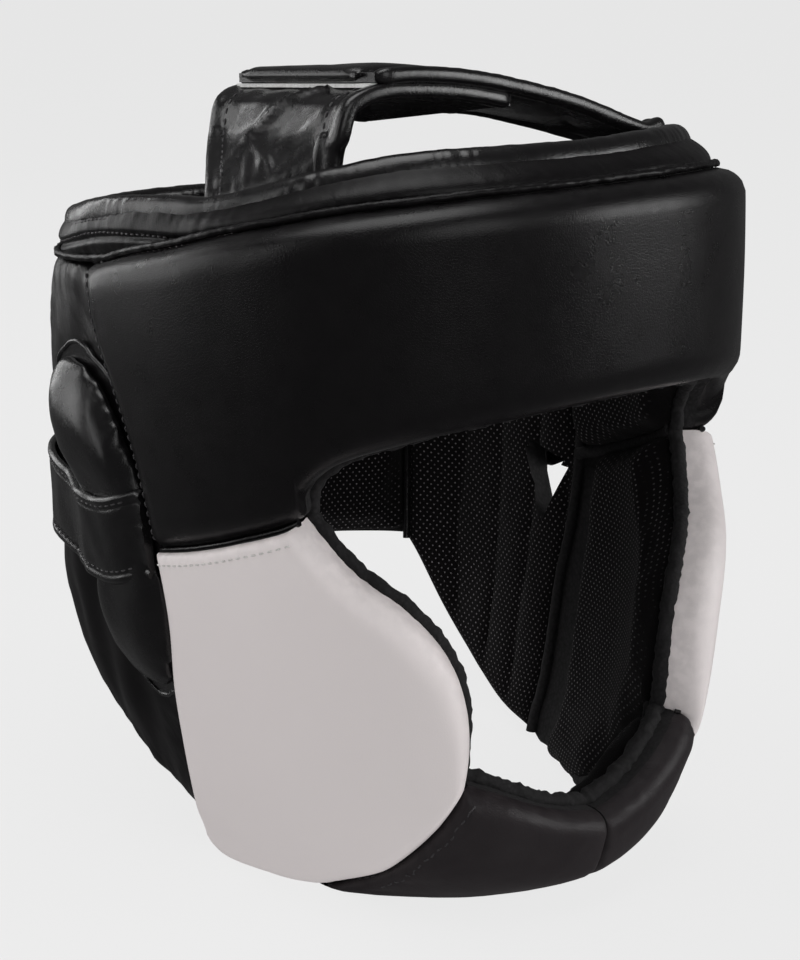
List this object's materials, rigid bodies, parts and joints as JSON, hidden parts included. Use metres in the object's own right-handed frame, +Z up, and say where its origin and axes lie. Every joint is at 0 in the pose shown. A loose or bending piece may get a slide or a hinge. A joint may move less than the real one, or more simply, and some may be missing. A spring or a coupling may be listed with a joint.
{
  "type": "boxing headgear",
  "caption": "Full-face padded boxing headgear with a brow band, cheek pads, a chin bar, ear pads, a rear strap and lapped crown wings.",
  "frame": {"origin": "on the table under the middle of the headgear, at the centre of its footprint box", "axes": "+Z up from the table it stands on; -Y towards the wearer's face opening; -X towards the wearer's right ear"},
  "size_m": [0.2209, 0.2397, 0.2756],
  "materials": {
    "band_leather": "matte smooth synthetic leather, faint grain",
    "soft_leather": "semi-gloss soft synthetic leather with fine creases",
    "cheek_leather": "off-white smooth synthetic leather, fine grain",
    "lining_mesh": "black brushed mesh lining with small pale dots",
    "tape": "white closure tape"
  },
  "bodies": {
    "root": {"forehead_band": "band_leather", "forehead_lining": "lining_mesh", "cheek_right": "cheek_leather", "cheek_left": "cheek_leather", "cheek_lining_right": "lining_mesh", "cheek_lining_left": "lining_mesh", "chin_bar_right": "soft_leather", "chin_bar_left": "soft_leather", "chin_lining": "lining_mesh", "side_panel_right": "soft_leather", "side_panel_left": "soft_leather", "side_lining_right": "lining_mesh", "side_lining_left": "lining_mesh", "back_panel": "soft_leather", "back_lining": "lining_mesh", "ear_pad_right": "soft_leather", "ear_pad_left": "soft_leather", "rear_strap_right": "soft_leather", "rear_strap_left": "soft_leather", "crown_collar": "soft_leather", "rim_piping": "soft_leather", "top_wing_right": "soft_leather", "top_wing_left": "soft_leather", "wing_binding_front_right": "soft_leather", "wing_binding_rear_right": "soft_leather", "wing_binding_front_left": "soft_leather", "wing_binding_rear_left": "soft_leather", "closure_tape": "tape"}
  },
  "joints": []
}
